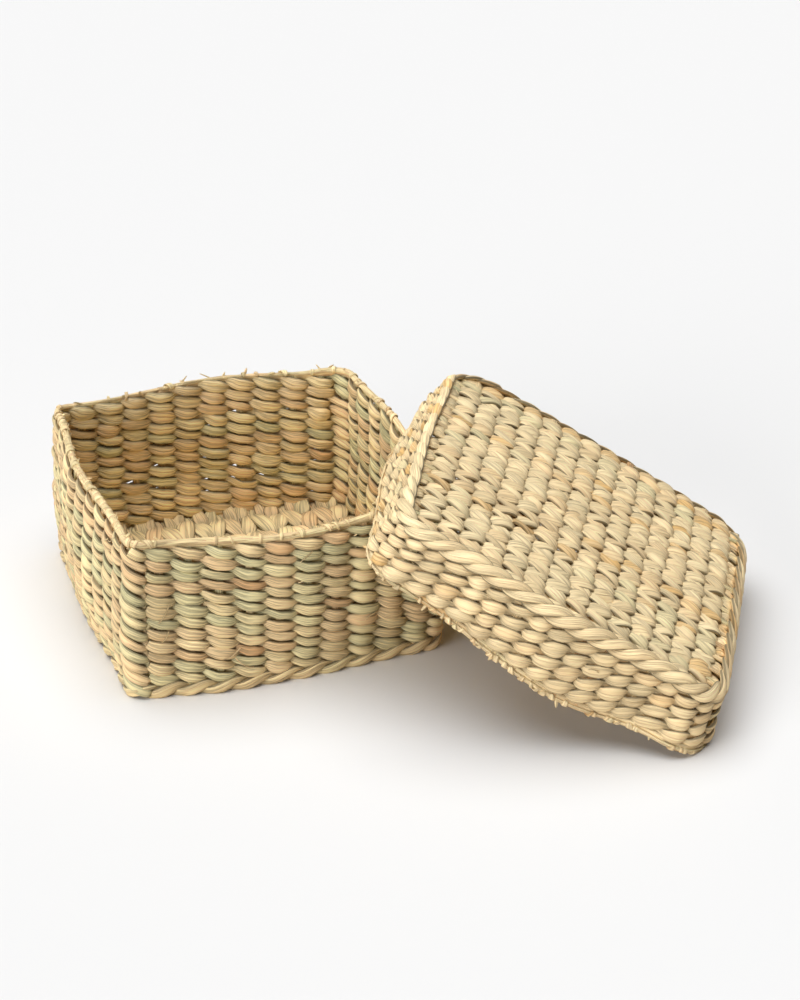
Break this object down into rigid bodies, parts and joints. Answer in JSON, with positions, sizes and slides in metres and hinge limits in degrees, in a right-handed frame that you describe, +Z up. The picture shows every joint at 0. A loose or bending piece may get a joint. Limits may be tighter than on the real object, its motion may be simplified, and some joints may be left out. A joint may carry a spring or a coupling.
{
  "type": "woven lidded box",
  "caption": "Square box hand-twined from flat reed, with a deep lift-off lid that slips over the base; the lid is off and leans on one corner of the open base.",
  "frame": {"origin": "middle of the base's underside, on the surface that it stands on", "axes": "+Z up; X and Y along the base's sides; the lid leans on the base's corner at +X -Y, with its low edge on the same surface"},
  "size_m": [0.396, 0.3501, 0.1351],
  "materials": {
    "base_reed": "matt dried reed, straw with grey-green and tan stems",
    "lid_reed": "matt dried reed, pale straw",
    "stake_reed": "matt dried reed"
  },
  "bodies": {
    "base": {"base_floor_mat": "base_reed", "base_stake_01": "stake_reed", "base_stake_02": "stake_reed", "base_stake_03": "stake_reed", "base_stake_04": "stake_reed", "base_stake_05": "stake_reed", "base_stake_06": "stake_reed", "base_stake_07": "stake_reed", "base_stake_08": "stake_reed", "base_stake_09": "stake_reed", "base_stake_10": "stake_reed", "base_back_side_stakes": "stake_reed", "base_front_side_stakes": "stake_reed", "base_corner_stakes_01": "stake_reed", "base_corner_stakes_02": "stake_reed", "base_corner_stakes_03": "stake_reed", "base_corner_stakes_04": "stake_reed", "base_foot_course": "base_reed", "base_course_01": "base_reed", "base_course_02": "base_reed", "base_course_03": "base_reed", "base_course_04": "base_reed", "base_course_05": "base_reed", "base_course_06": "base_reed", "base_course_07": "base_reed", "base_course_08": "base_reed", "base_course_09": "base_reed", "base_course_10": "base_reed", "base_course_11": "base_reed", "base_course_12": "base_reed", "base_rim": "base_reed"},
    "lid": {"lid_top_mat": "lid_reed", "lid_stake_01": "stake_reed", "lid_stake_02": "stake_reed", "lid_stake_03": "stake_reed", "lid_stake_04": "stake_reed", "lid_stake_05": "stake_reed", "lid_stake_06": "stake_reed", "lid_stake_07": "stake_reed", "lid_stake_08": "stake_reed", "lid_stake_09": "stake_reed", "lid_stake_10": "stake_reed", "lid_stake_11": "stake_reed", "lid_stake_12": "stake_reed", "lid_right_side_stakes": "stake_reed", "lid_left_side_stakes": "stake_reed", "lid_corner_stakes_01": "stake_reed", "lid_corner_stakes_02": "stake_reed", "lid_corner_stakes_03": "stake_reed", "lid_corner_stakes_04": "stake_reed", "lid_edge_course": "lid_reed", "lid_course_01": "lid_reed", "lid_course_02": "lid_reed", "lid_course_03": "lid_reed", "lid_course_04": "lid_reed", "lid_rim": "lid_reed"}
  },
  "joints": [
    {"name": "lid_lift", "type": "slide", "parent": "base", "child": "lid", "axis": [0, 0, 1], "range_m": [0, 0.15]}
  ]
}
